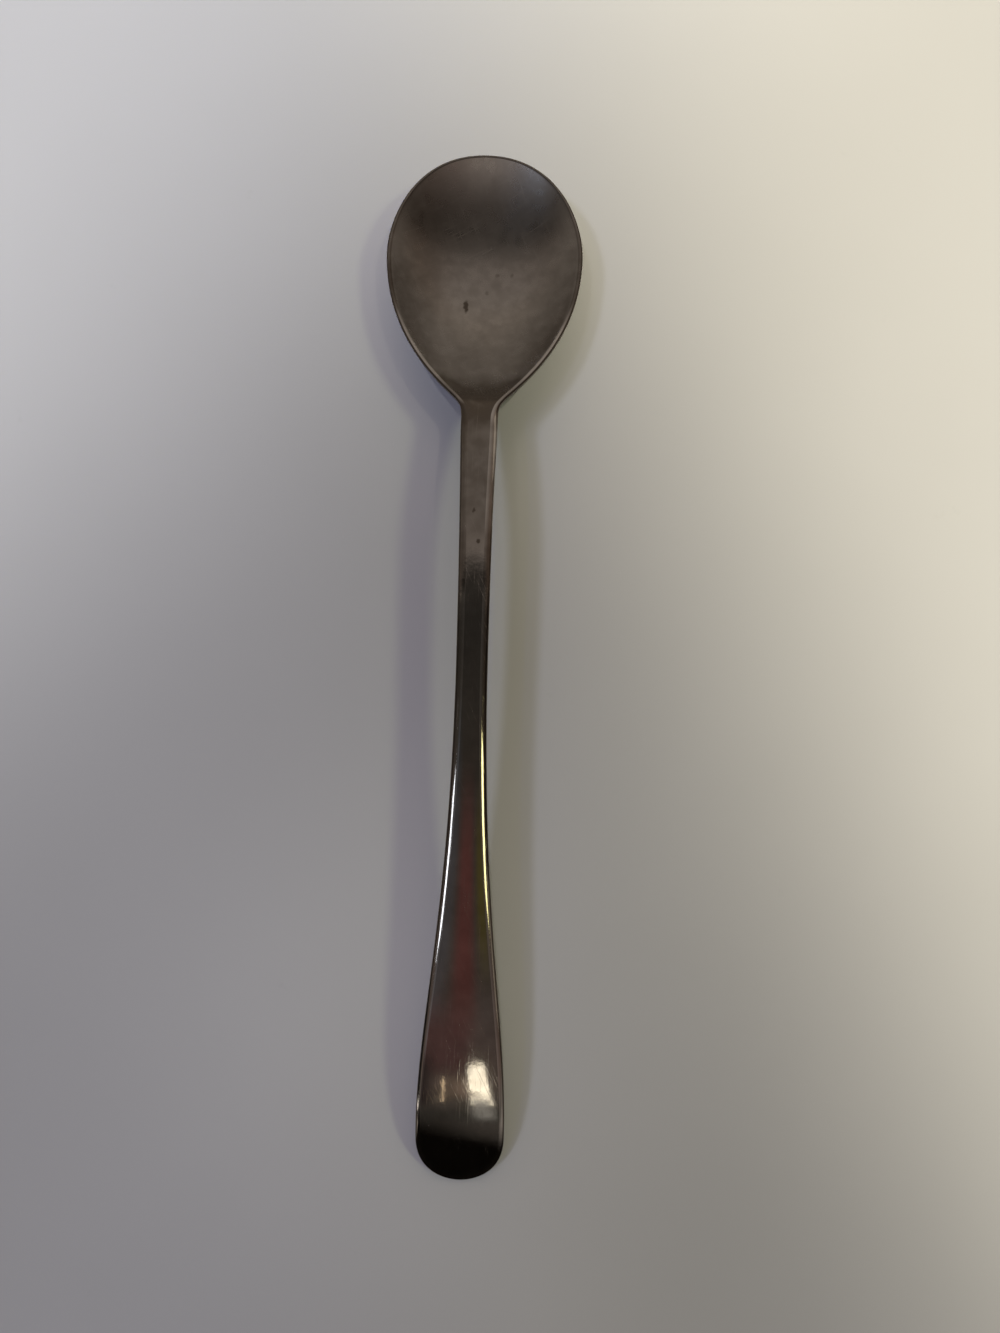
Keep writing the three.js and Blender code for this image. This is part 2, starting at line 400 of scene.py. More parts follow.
def half_section(station, inset, detail):
    """Points down the right half of one section, shrunk by an inset on every side.

    They run from the middle of the face round the edge to the middle of the back. Each has two values.
    The first marks the edges, where the material puts wear, painted shade and painted highlight: 0 on the
    open face and back, INNER_EDGE where the face meets the land or bevel, and OUTER_EDGE round the outside.
    The second is how far across it lies, from 0 in the middle to 1 at the edge.
    """
    distance = station.distance
    lip = lip_width(distance)
    drop = lip_drop(distance)
    top = edge_height(distance) - inset
    bottom = edge_height(distance) - edge_thickness(distance) + inset

    def place(depth):
        return station.edge - depth * station.outward

    def at(depth, height):
        return np.array((*place(depth), height))

    def on_bevel(depth):
        return at(depth, top - drop * (lip - depth) / (lip - inset))

    def column(depth, share, height_at, raised):
        spot = place(depth) * (share, 1)
        return np.array((*spot, height_at(spot) + raised))

    rounding = lip_rounding(distance)
    face_depth = lip + rounding
    back_depth = BACK_ROUND_WIDTH + rounding
    side_top = at(inset, top - drop)
    side_low = at(inset, bottom + BACK_ROUND_HEIGHT)
    back_edge = at(BACK_ROUND_WIDTH, bottom)
    up = np.array((0, 0, SIDE_ROUNDING))
    chamfer = SIDE_ROUNDING * (back_edge - side_low) / np.linalg.norm(back_edge - side_low)
    steps = detail.corner_steps

    face_across = [index / detail.face_columns for index in range(detail.face_columns)]
    back_across = [index / detail.back_columns for index in range(detail.back_columns)]
    face = [column(face_depth, share, face_height, -inset) for share in face_across]
    face_end = column(face_depth, 1, face_height, -inset)
    inner = rounded_corner(face_end, at(lip, top), on_bevel(lip - rounding), steps)
    outer = rounded_corner(on_bevel(inset + SIDE_ROUNDING), side_top, side_top - up, steps)
    outer += rounded_corner(side_low + up, side_low, side_low + chamfer, steps)
    back_end = column(back_depth, 1, back_height, inset)
    outer += rounded_corner(back_edge - chamfer, back_edge, back_end, steps)
    back = [column(back_depth, share, back_height, inset) for share in back_across]

    wear = [0] * len(face) + [INNER_EDGE] * len(inner) + [OUTER_EDGE] * len(outer) + [0] * len(back)
    across = face_across + [1] * len(inner + outer) + back_across[::-1]
    return list(zip(face + inner + outer + back[::-1], zip(wear, across)))


def add_surface(mesh, inset, detail, layers):
    """Adds the closed surface of the spoon, shrunk by an inset, to a mesh under construction."""
    mirror = np.array((-1, 1, 1))
    rings = []
    for station in outline_stations(detail.curve_steps):
        right = half_section(station, inset, detail)
        left = [(point * mirror, values) for point, values in right[-2:0:-1]]
        ring = []
        for point, values in right + left:
            vertex = mesh.verts.new(point * MM)
            for layer, value in zip(layers, values):
                vertex[layer] = value
            ring.append(vertex)
        rings.append(ring)
    for ring, following in zip(rings, rings[1:]):
        for index in range(len(ring)):
            after = (index + 1) % len(ring)
            mesh.faces.new((ring[index], ring[after], following[after], following[index]))


# Points closer than this, in metres, are one point
MERGE_DISTANCE = 1e-7


def add_object(name, data):
    """An object with the given data, linked into the scene."""
    made = bpy.data.objects.new(name, data)
    bpy.context.scene.collection.objects.link(made)
    return made


def wear_flat(mesh, nested):
    """Cuts a mesh at the resting plane and closes its two flats, by rings if surfaces are nested."""
    everything = mesh.verts[:] + mesh.edges[:] + mesh.faces[:]
    bmesh.ops.bisect_plane(
        mesh,
        geom=everything,
        dist=MERGE_DISTANCE,
        plane_co=(0, 0, 0),
        plane_no=(0, 0, 1),
        clear_inner=True,
    )
    for side in (1, -1):
        rims = [edge for edge in mesh.edges if edge.is_boundary and edge.verts[0].co.y * side > 0]
        if nested:
            bmesh.ops.bridge_loops(mesh, edges=rims)
        else:
            bmesh.ops.holes_fill(mesh, edges=rims)


def spoon_mesh(name, surfaces):
    """A closed piece of one or two nested surfaces, as insets and details, worn flat where it rests."""
    mesh = bmesh.new()
    for value_name in POINT_VALUES:
        mesh.verts.layers.float.new(value_name)
    # Fetched once all are made, because a new layer makes those before it stale
    layers = [mesh.verts.layers.float[value_name] for value_name in POINT_VALUES]
    for inset, detail in surfaces:
        add_surface(mesh, inset, detail, layers)
    bmesh.ops.remove_doubles(mesh, verts=mesh.verts, dist=MERGE_DISTANCE)
    wear_flat(mesh, nested=len(surfaces) > 1)
    bmesh.ops.recalc_face_normals(mesh, faces=mesh.faces)
    for face in mesh.faces:
        face.smooth = True
    for edge in mesh.edges:
        edge.smooth = max(abs(vertex.co.z) for vertex in edge.verts) > MERGE_DISTANCE
    data = bpy.data.meshes.new(name)
    mesh.to_mesh(data)
    mesh.free()
    return add_object(name, data)


# Levels between which most of a noise lies
NOISE_SPAN = (0.3, 0.7)

# Scratches: noise per millimetre across and along them, its scale and detail, and where they show
SCRATCH_STRETCH = (7, 0.12, 0)
SCRATCH_NOISE = (1, 2)
SCRATCH_SHOWS = (0.62, 0.72)

# An oval mark is full to the first share of its half size and gone at the second
OVAL_FADE = (0.3, 1.2)


class Graph:
    """Adds shader nodes to a tree. An input is a plain value or another node's output."""

    def __init__(self, owner):
        owner.use_nodes = True
        self.tree = owner.node_tree
        self.tree.nodes.clear()

    def add(self, kind, inputs=None, **settings):
        made = self.tree.nodes.new("ShaderNode" + kind)
        for name, value in settings.items():
            setattr(made, name, value)
        for key, value in (inputs or {}).items():
            if isinstance(value, bpy.types.NodeSocket):
                self.tree.links.new(value, made.inputs[key])
            else:
                made.inputs[key].default_value = value
        return made

    def math(self, operation, *values):
        return self.add("Math", dict(enumerate(values)), operation=operation).outputs[0]

    def vector_math(self, operation, *values):
        return self.add("VectorMath", dict(enumerate(values)), operation=operation).outputs[0]

    def product(self, first, second):
        return self.math("MULTIPLY", first, second)

    def total(self, *values):
        """Sum of several inputs."""
        result = values[0]
        for value in values[1:]:
            result = self.math("ADD", result, value)
        return result

    def axes(self, vector):
        """The X, Y and Z of a vector."""
        return self.add("SeparateXYZ", {0: vector}).outputs

    def object_millimetres(self):
        coordinates = self.add("TexCoord").outputs["Object"]
        scaled = self.add("VectorMath", {0: coordinates, "Scale": 1 / MM}, operation="SCALE")
        return scaled.outputs[0]

    def stored(self, name):
        """A value stored on the points of the mesh."""
        return self.add("Attribute", attribute_name=name).outputs["Fac"]

    def fade(self, value, low, high, start=0.0, end=1.0):
        """A smooth change from start to end while the value goes from low to high."""
        inputs = {"Value": value, "From Min": low, "From Max": high, "To Min": start, "To Max": end}
        return self.add("MapRange", inputs, interpolation_type="SMOOTHSTEP").outputs[0]

    def window(self, value, low, high, softness):
        """1 while the value is between low and high, fading to 0 over the softness on both sides."""
        rise = self.fade(value, low - softness, low + softness)
        fall = self.fade(value, high - softness, high + softness, 1.0, 0.0)
        return self.product(rise, fall)

    def mix(self, share, first, second, blend="MIX"):
        """Two colours mixed. The Mix node has colours at its inputs 6 and 7 and its output 2."""
        inputs = {0: share, 6: first, 7: second}
        return self.add("Mix", inputs, data_type="RGBA", blend_type=blend).outputs[2]

    def mix_numbers(self, share, first, second):
        """Two numbers mixed. The Mix node has numbers at its inputs 2 and 3 and its output 0."""
        return self.add("Mix", {0: share, 2: first, 3: second}).outputs[0]

    def noise(self, vector, scale, detail=3.0, roughness=0.5, output="Fac"):
        inputs = {"Vector": vector, "Scale": scale, "Detail": detail, "Roughness": roughness}
        return self.add("TexNoise", inputs).outputs[output]

    def between(self, noise, low, high):
        """Noise stretched to run from low to high."""
        return self.fade(noise, *NOISE_SPAN, low, high)

    def stretched(self, vector, scale):
        return self.add("Mapping", {"Vector": vector, "Scale": scale}).outputs[0]

    def oval(self, spot, place, size):
        """1 inside an oval in the plan, fading to 0 at its edge."""
        offset = self.vector_math("SUBTRACT", spot, (*place, 0))
        scaled = self.vector_math("MULTIPLY", offset, (2 / size[0], 2 / size[1], 0))
        distance = self.add("VectorMath", {0: scaled}, operation="LENGTH").outputs["Value"]
        return self.fade(distance, *OVAL_FADE, 1.0, 0.0)

    def scratches(self, spot, turn):
        """Thin straight scratches along the spoon, turned by some degrees."""
        inputs = {"Vector": spot, "Angle": math.radians(turn)}
        turned = self.add("VectorRotate", inputs, rotation_type="Z_AXIS").outputs[0]
        lines = self.noise(self.stretched(turned, SCRATCH_STRETCH), *SCRATCH_NOISE)
        return self.fade(lines, *SCRATCH_SHOWS)

    def finish(self, shader, kind="Material"):
        self.add("Output" + kind, {"Surface": shader.outputs[0]})


def record_colour(slot):
    """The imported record's colour of a material slot, with full alpha."""
    colours = {entry["slot"]: entry["base_color"] for entry in frame["record"]["materials"]}
    return (*colours[slot], 1)


# Stretches of the spoon where its finish, painted shade and painted highlight change, in millimetres from
# its middle towards the bowl tip: where each starts and ends, and how softly, or between which places a
# change comes in
Stretch = namedtuple("Stretch", "low high softness")
PAINTED_DARK_EDGE_STEM = Stretch(12, 36, 2)
UPPER_STEM = Stretch(20, 36, 3)
LEFT_NECK = Stretch(35, 38.5, 1.5)
NECK = Stretch(35.8, 42, 2)
BOWL_SIDES = Stretch(39, 60, 3)
INTO_BOWL = (36, 42)
TO_FAR_RIM = (47, 56)
TO_TIP = (68, 75)

# Changes from left to right in millimetres, with the normal's upward part, and across the bowl to its rim
LEFT_TO_RIGHT = (-1, 1)
TURNING_UP = (0.1, 0.4)
TO_RIM = (0.5, 1.0)

# Changes with the edge marks that are stored on the mesh, for wear, painted shade and painted highlight
OFF_FACE = (0.1, 0.4)
ONTO_BEVEL = (0.2, 0.5)
ON_INNER_EDGE = Stretch(0.46, 0.6, 0.05)
ROUND_OUTSIDE = (0.55, 0.9)

# Tarnish: its colour, its share all over, and what is added to that in places. Most of what is added is
# painted shade, at the neck, along the upper stem, inside the bowl's rim, round the outside and along dark
# edges, and painted highlight, at the bowl tip, on the stem's right bevel and on the rubbed edges, which
# are also worn. Pairs are for left and right
TARNISH = (0.13, 0.11, 0.09, 1)
FILM = 0.6
CLOUD_FILM = 0.07
MOTTLING_FILM = 0.035
NECK_PAINTED_SHADE = 0.42
STEM_PAINTED_SHADE = 0.23
STEM_BEVEL_SHADE_AND_HIGHLIGHT = (0.05, -0.25)
OUTSIDE_PAINTED_SHADE = 0.45
TIP_PAINTED_HIGHLIGHT = -0.5
RIM_PAINTED_SHADE = 0.2
RUBBED_AND_HIGHLIGHT_FILM = (-0.42, -0.56)
EDGE_PAINTED_SHADE = 0.2
SCRATCH_FILM = -0.08

# Share of the painted shade inside the rim that its land has
RIM_LAND_SHARE = 0.7

# Noises of the silver: scale per millimetre, detail and roughness. The grain's is stretched along the spoon
CLOUD_NOISE = (0.11, 4, 0.6)
MOTTLING_NOISE = (0.6, 3, 0.5)
SATIN_NOISE = (0.6, 4, 0.5)
DENT_NOISE = (0.8, 2, 0.5)
FINE_DENT_NOISE = (2.6, 3, 0.5)
WOBBLE_NOISE = (1.6, 2, 0.5)
GRAIN_NOISE = (1, 4, 0.6)
GRAIN_STRETCH = (5, 0.35, 0)

# Roughness on the handle and in the bowl, and what scratches and marks add to it
POLISHED = (0.05, 0.1)
SATIN = (0.26, 0.34)
SCORED_ROUGHNESS = 0.12

# Dents: their depth in millimetres, and the shares of it that fine dents, scratches and marks have
DENT_DEPTH = 0.0045
FINE_DENT_SHARE = 0.5
SCORED_SHARE = 0.25

# Turns of the scratches from lengthwise, in degrees
HANDLE_SCRATCH_TURN = 1.5
BOWL_SCRATCH_TURN = 62
SLANTED_SCRATCH_TURN = -24

# Marks on the upper face, in millimetres: where, how wide and long, how dark, and how far outlines wander
Mark = namedtuple("Mark", "place size strength")
MARKS = (
    Mark((-2.66, 54.8), (0.8, 2.2), 0.6),
    Mark((1.8, 59.6), (0.6, 0.6), 0.15),
    Mark((4.0, 59.6), (0.5, 0.9), 0.15),
    Mark((0.4, 57.0), (0.7, 0.7), 0.14),
    Mark((-0.3, 23.0), (0.35, 0.7), 0.5),
    Mark((0.4, 18.7), (0.5, 0.6), 0.45),
)
MARK_WOBBLE = 0.7

Surface = namedtuple("Surface", "spot along on_right upward in_bowl edge across")


def surface_values(graph):
    """What the finish of the silver depends on at a point of the spoon."""
    spot = graph.object_millimetres()
    place = graph.axes(spot)
    normal = graph.axes(graph.add("TexCoord").outputs["Normal"])
    edge, across = (graph.stored(name) for name in POINT_VALUES)
    return Surface(
        spot=spot,
        along=place["Y"],
        on_right=graph.fade(place["X"], *LEFT_TO_RIGHT),
        upward=graph.fade(normal["Z"], *TURNING_UP),
        in_bowl=graph.fade(place["Y"], *INTO_BOWL),
        edge=edge,
        across=across,
    )


def tarnish_and_painted_light(graph, at):
    """Tarnish clouds and mottling, with painted highlight that thins the film at the tip, and painted shade
    that thickens it at the neck, along the upper stem, inside the bowl's rim and round the outside."""
    clouds = graph.between(graph.noise(at.spot, *CLOUD_NOISE), -CLOUD_FILM, CLOUD_FILM)
    mottling = graph.between(graph.noise(at.spot, *MOTTLING_NOISE), -MOTTLING_FILM, MOTTLING_FILM)
    # Painted shade: more film at the neck
    at_neck = graph.product(graph.window(at.along, *NECK), NECK_PAINTED_SHADE)
    # Painted shade along the upper stem: the face and left bevel darker, the right bevel lighter as painted
    # highlight
    on_bevel = graph.fade(at.on_right, 0, 1, *STEM_BEVEL_SHADE_AND_HIGHLIGHT)
    stem_painted_light = graph.fade(at.edge, *ONTO_BEVEL, STEM_PAINTED_SHADE, on_bevel)
    on_stem = graph.product(graph.window(at.along, *UPPER_STEM), stem_painted_light)
    # Painted shade: a dark line round the outside
    outline = graph.fade(at.edge, *ROUND_OUTSIDE, 0.0, OUTSIDE_PAINTED_SHADE)
    # Painted highlight: less film at the bowl tip
    tip_painted_highlight_level = graph.fade(at.along, *TO_TIP, 0.0, TIP_PAINTED_HIGHLIGHT)
    at_tip = graph.product(tip_painted_highlight_level, graph.fade(at.edge, *OFF_FACE, 1.0, 0.0))
    # Painted shade inside the bowl's rim along its sides, less on the land
    rim_painted_shade_level = graph.fade(at.across, *TO_RIM, 0.0, RIM_PAINTED_SHADE)
    by_rim = graph.product(graph.window(at.along, *BOWL_SIDES), rim_painted_shade_level)
    inside_rim = graph.product(by_rim, graph.fade(at.edge, *OFF_FACE, 1.0, RIM_LAND_SHARE))
    return graph.total(FILM, clouds, mottling, at_neck, on_stem, outline, at_tip, inside_rim)


def scratch_lines(graph, at):
    """Scratches along the handle, others across the bowl, and slanted ones on both."""
    on_handle = graph.math("SUBTRACT", 1.0, at.in_bowl)
    lengthwise = graph.product(graph.scratches(at.spot, HANDLE_SCRATCH_TURN), on_handle)
    crosswise = graph.product(graph.scratches(at.spot, BOWL_SCRATCH_TURN), at.in_bowl)
    return graph.total(lengthwise, crosswise, graph.scratches(at.spot, SLANTED_SCRATCH_TURN))


def edge_wear_and_painted_light(graph, at):
    """Change of the film on the inner edge of rim and bevels: rubbed clean, which is wear with painted
    highlight that is stronger on the right, but kept dark as painted shade along the stem, on the left of
    the neck and round the far rim."""
    # Painted shade: edges kept dark along the stem, on the left of the neck and round the far rim
    on_left = graph.fade(at.on_right, 0, 1, 1, 0)
    at_left_neck = graph.product(graph.window(at.along, *LEFT_NECK), on_left)
    on_stem = graph.window(at.along, *PAINTED_DARK_EDGE_STEM)
    painted_dark_edges = graph.total(on_stem, at_left_neck, graph.fade(at.along, *TO_FAR_RIM))
    # Rubbed clean, partly wear and partly painted highlight, more on the right
    rubbed_and_highlit = graph.fade(at.on_right, 0, 1, *RUBBED_AND_HIGHLIGHT_FILM)
    change = graph.fade(painted_dark_edges, 0, 1, rubbed_and_highlit, EDGE_PAINTED_SHADE)
    return graph.product(graph.window(at.edge, *ON_INNER_EDGE), change)


def dark_marks(graph, at):
    """Small dark marks on the upper face, with uneven outlines."""
    shapeless = graph.noise(at.spot, *WOBBLE_NOISE, output="Color")
    wobbled = graph.vector_math("MULTIPLY_ADD", shapeless, (MARK_WOBBLE, MARK_WOBBLE, 0), at.spot)
    centred = graph.vector_math("SUBTRACT", wobbled, (MARK_WOBBLE / 2, MARK_WOBBLE / 2, 0))
    marks = [graph.product(graph.oval(centred, mark.place, mark.size), mark.strength) for mark in MARKS]
    return graph.product(graph.total(*marks), at.upward)


def worn_silver():
    """Old silver plate: satin and stained in the bowl, polished and scratched along the handle, with
    painted shade and painted highlight in places.
    """
    material = bpy.data.materials.new("worn_silver")
    graph = Graph(material)
    at = surface_values(graph)
    scratched = scratch_lines(graph, at)
    marked = dark_marks(graph, at)
    scored = graph.total(scratched, marked)

    # Film with painted shade and painted highlight in places, less where it is scratched or rubbed, more
    # where it is marked
    thinned = graph.product(scratched, SCRATCH_FILM)
    film_and_painted_light = graph.total(tarnish_and_painted_light(graph, at), thinned, edge_wear_and_painted_light(graph, at), marked)
    colour = graph.mix(film_and_painted_light, record_colour("worn_silver"), TARNISH)

    # Satin in the bowl, polish with a fine grain on the handle
    grain = graph.noise(graph.stretched(at.spot, GRAIN_STRETCH), *GRAIN_NOISE)
    polished = graph.between(grain, *POLISHED)
    satin = graph.between(graph.noise(at.spot, *SATIN_NOISE), *SATIN)
    finish = graph.mix_numbers(at.in_bowl, polished, satin)
    roughness = graph.total(finish, graph.product(scored, SCORED_ROUGHNESS))

    # Shallow dents, scratches and marks
    fine_dents = graph.product(graph.noise(at.spot, *FINE_DENT_NOISE), FINE_DENT_SHARE)
    dents = graph.total(graph.noise(at.spot, *DENT_NOISE), fine_dents)
    relief = graph.math("SUBTRACT", dents, graph.product(scored, SCORED_SHARE))
    bump = graph.add("Bump", {"Strength": 1.0, "Distance": DENT_DEPTH * MM, "Height": relief})
    shader = graph.add(
        "BsdfPrincipled",
        {"Base Color": colour, "Metallic": 1.0, "Roughness": roughness, "Normal": bump.outputs[0]},
    )
    graph.finish(shader)
    return material


# The blank's metal where it is rubbed, its noises as above, and its roughness
RUBBED_NICKEL = (0.55, 0.48, 0.35, 1)
NICKEL_CLOUD_NOISE = (0.8, 4)
NICKEL_GRAIN_NOISE = (1, 3)
NICKEL_GRAIN_STRETCH = (6, 0.5, 6)
NICKEL_ROUGHNESS = (0.28, 0.45)


def nickel_silver():
    """The blank's yellowish metal, rubbed by the table."""
    material = bpy.data.materials.new("nickel_silver")
    graph = Graph(material)
    spot = graph.object_millimetres()
    cloud = graph.between(graph.noise(spot, *NICKEL_CLOUD_NOISE), 0.0, 1.0)
    colour = graph.mix(cloud, record_colour("nickel_silver"), RUBBED_NICKEL)
    grain = graph.noise(graph.stretched(spot, NICKEL_GRAIN_STRETCH), *NICKEL_GRAIN_NOISE)
    roughness = graph.between(grain, *NICKEL_ROUGHNESS)
    shader = graph.add("BsdfPrincipled", {"Base Color": colour, "Metallic": 1.0, "Roughness": roughness})
    graph.finish(shader)
    return material


# Table top: the two colours of its clouds, its noises as above, its smudges and its roughness
TABLE_COLOURS = ((0.4, 0.395, 0.385, 1), (0.44, 0.435, 0.425, 1))
TABLE_CLOUD_NOISE = (0.02, 3)
SMUDGE_NOISE = (0.12, 5, 0.7)
SMUDGE_SHOWS = (0.66, 0.8)
SMUDGE_STRENGTH = 0.16
SMUDGE_COLOUR = (0.24, 0.23, 0.22, 1)
TABLE_ROUGHNESS = 0.6

# Side of the table top, in metres
FLOOR_SIZE = 8.0


def table_top():
    """Pale matt table top."""
    material = bpy.data.materials.new("table_top")
    graph = Graph(material)
    spot = graph.object_millimetres()
    colour = graph.mix(graph.noise(spot, *TABLE_CLOUD_NOISE), *TABLE_COLOURS)
    smudges = graph.fade(graph.noise(spot, *SMUDGE_NOISE), *SMUDGE_SHOWS, 0.0, SMUDGE_STRENGTH)
    marked = graph.mix(smudges, colour, SMUDGE_COLOUR)
    graph.finish(graph.add("BsdfPrincipled", {"Base Color": marked, "Roughness": TABLE_ROUGHNESS}))
    return material


def add_sheet(name, corners, material):
    """A flat four-sided piece of the surroundings."""
    data = bpy.data.meshes.new(name)
    data.from_pydata(corners, [], [(0, 1, 2, 3)])
    data.materials.append(material)
    return add_object(name, data)


def add_floor():
    half = FLOOR_SIZE / 2
    corners = [(-half, -half, 0), (half, -half, 0), (half, half, 0), (-half, half, 0)]
    floor = add_sheet("floor", corners, table_top())


# Colours of the dim room by degrees from straight up, negative towards the bowl's side
ROOM = (
    (-90, (0.1, 0.086, 0.076)),
    (-74, (0.135, 0.108, 0.09)),
    (-64, (0.212, 0.182, 0.154)),
    (-34, (0.195, 0.174, 0.16)),
    (-6.3, (0.165, 0.143, 0.13)),
    (-4.6, (0.03, 0.027, 0.024)),
    (0, (0.02, 0.018, 0.016)),
    (10, (0.03, 0.026, 0.022)),
    (17, (0.046, 0.038, 0.034)),
    (27, (0.052, 0.043, 0.039)),
    (35, (0.07, 0.054, 0.049)),
    (44, (0.078, 0.06, 0.052)),
    (51, (0.07, 0.06, 0.053)),
    (56, (0.045, 0.042, 0.037)),
    (65, (0.028, 0.025, 0.021)),
    (90, (0.02, 0.018, 0.016)),
)
ROOM_LEVEL = 1.8

# All round the horizon the room is one soft warm grey, blended in between these heights in degrees
HORIZON = (0.132, 0.117, 0.104, 1)
HORIZON_BLEND = (36, 20)

# The room is darker to the left, and darker and browner to the right, between these degrees to the right
LEFT_TINT = (0.66, 0.64, 0.62, 1)
LEFT_BLEND = (-52, -12)
RIGHT_TINT = (0.52, 0.44, 0.38, 1)
RIGHT_BLEND = (12, 52)

# A bluish patch of the room: degrees towards the near side, degrees to the right, softness and added colour
PATCH_TILT = (8, 40)
PATCH_SIDE = (-30, -12)
PATCH_SOFTNESS = 4
PATCH_COLOUR = (0.006, 0.012, 0.02, 1)


def room_colour(graph, tilt):
    """The room's colour at a tilt from straight up."""
    (first, first_colour), *between, (last, last_colour) = ROOM
    share = graph.add("MapRange", {"Value": tilt, "From Min": first, "From Max": last}).outputs[0]
    ramp = graph.add("ValToRGB", {"Fac": share})
    stops = ramp.color_ramp.elements
    stops[0].color = (*first_colour, 1)
    stops[-1].color = (*last_colour, 1)
    for degrees, colour in between:
        stop = stops.new((degrees - first) / (last - first))
        stop.color = (*colour, 1)
    return ramp.outputs[0]


def set_room():
    """Soft light from all round: a dim room that changes from the far side to the near side."""
    world = bpy.data.worlds.new("room")
    bpy.context.scene.world = world
    graph = Graph(world)
    direction = graph.axes(graph.add("TexCoord").outputs["Generated"])
    towards_viewer = graph.product(direction["Y"], -1.0)
    tilt = graph.math("DEGREES", graph.math("ARCTAN2", towards_viewer, direction["Z"]))
    side = graph.math("DEGREES", graph.math("ARCSINE", direction["X"]))
    leftmost = graph.fade(side, *LEFT_BLEND, 1.0, 0.0)
    rightmost = graph.fade(side, *RIGHT_BLEND)
    light = graph.mix(leftmost, room_colour(graph, tilt), LEFT_TINT, "MULTIPLY")
    light = graph.mix(rightmost, light, RIGHT_TINT, "MULTIPLY")
    in_tilt = graph.window(tilt, *PATCH_TILT, PATCH_SOFTNESS)
    in_side = graph.window(side, *PATCH_SIDE, PATCH_SOFTNESS)
    light = graph.mix(graph.product(in_tilt, in_side), light, PATCH_COLOUR, "ADD")
    high, low = (math.sin(math.radians(degrees)) for degrees in HORIZON_BLEND)
    light = graph.mix(graph.fade(direction["Z"], low, high, 1.0, 0.0), light, HORIZON)
    graph.finish(graph.add("Background", {"Color": light, "Strength": ROOM_LEVEL}), "World")


# Two suns that make the shadows on both sides, and a soft fill from the far side: where each stands, its
# strength, its colour and how wide it is in degrees
Sun = namedtuple("Sun", "name place strength colour width")
SUNS = (
    Sun("left_sun", (-650, 100, 1000), 0.67, (0.67, 0.73, 1), 7),
    Sun("right_sun", (820, 100, 1000), 0.53, (0.92, 1, 0.63), 8),
    Sun("fill_sun", (0, 1000, 700), 0.68, (1, 0.84, 0.72), 50),
)

# Pools of daylight on the table round the spoon: middle, reach, softness of the edge, power and colour
Pool = namedtuple("Pool", "name middle reach blend power colour")
POOLS = (
    Pool("right_window", (1598, 719), 1741, 0.07, 1040, (1, 0.94, 0.77)),
    Pool("far_window", (-1259, 1204), 1720, 0.09, 745, (0.96, 0.97, 1)),
    Pool("left_window", (-1850, -60), 1885, 0.07, 92, (0.15, 0.25, 1)),
    Pool("near_glow", (-12, -48), 48, 1.0, 84, (1, 0.98, 0.97)),
)
POOL_LAMP_HEIGHT = 4000
POOL_LAMP_RADIUS = 30

# Strips that only shine in the metal: middle, what they face, roll in degrees, size, spread in degrees,
# brightness and colour
Strip = namedtuple("Strip", "name middle target roll size spread brightness colour")
HANDLE_MIDDLE = (0, -30, 10)
RIGHT_BEVEL = (2, -30, 10)
HANDLE_SIDE = (5, -45, 9)
HANDLE_END = (2, -58, 7)
LEFT_CORNER = (-6, -62, 6)
RIGHT_NECK = (2.5, 33, 10)
BOWL_TIP = (0, 74, 6)
BOWL_SHOULDER = (7, 72, 6)
STRIPS = (
    Strip("left_strip", (-80, -62, 105), HANDLE_MIDDLE, 0, (52, 22), 120, 3.2, (0.82, 0.88, 1)),
    Strip("right_strip", (74, -50, 105), RIGHT_BEVEL, 0, (50, 28), 44, 3.6, (1, 0.94, 0.46)),
    Strip("edge_strip", (108, -88, 88), HANDLE_SIDE, 0, (50, 30), 90, 0.15, (1, 0.93, 0.75)),
    Strip("tip_strip", (-4, 32, 60), BOWL_TIP, 0, (20, 12), 70, 0.22, (1, 0.98, 0.9)),
    Strip("shoulder_strip", (-38, 37, 60), BOWL_SHOULDER, 0, (32, 8), 70, 0.52, (0.58, 0.74, 1)),
    Strip("end_strip", (15.5, -200, 147), HANDLE_END, 0, (22, 50), 90, 3.2, (1, 0.95, 0.78)),
    Strip("thin_strip", (-24, -204, 142), HANDLE_END, 13, (1.6, 30), 90, 2.4, (1, 0.78, 0.5)),
    Strip("corner_strip", (-70, -131, 41), LEFT_CORNER, 0, (8, 8), 60, 2.4, (1, 0.96, 0.9)),
    Strip("neck_strip", (76, 86, 57), RIGHT_NECK, 0, (34, 22), 32, 0.36, (1, 0.93, 0.8)),
)


def add_lamp(name, kind, location, target, energy, colour, roll=0):
    """A lamp at a place in millimetres that faces a target, rolled about that line by some degrees."""
    data = bpy.data.lights.new(name, kind)
    data.energy = energy
    data.color = colour
    lamp = add_object(name, data)
    lamp.location = Vector(location) * MM
    facing = (Vector(target) - Vector(location)).to_track_quat("-Z", "Y")
    lamp.rotation_euler = (facing @ Quaternion((0, 0, 1), math.radians(roll))).to_euler()
    lamp.visible_camera = False
    return lamp


def add_suns():
    for sun in SUNS:
        lamp = add_lamp(sun.name, "SUN", sun.place, (0, 0, 0), sun.strength, sun.colour)
        lamp.data.angle = math.radians(sun.width)
        lamp.visible_glossy = False


def add_pools():
    for pool in POOLS:
        above = (*pool.middle, POOL_LAMP_HEIGHT)
        lamp = add_lamp(pool.name, "SPOT", above, (*pool.middle, 0), pool.power, pool.colour)
        lamp.data.spot_size = 2 * math.atan(pool.reach / POOL_LAMP_HEIGHT)
        lamp.data.spot_blend = pool.blend
        lamp.data.shadow_soft_size = POOL_LAMP_RADIUS * MM
        lamp.visible_glossy = False


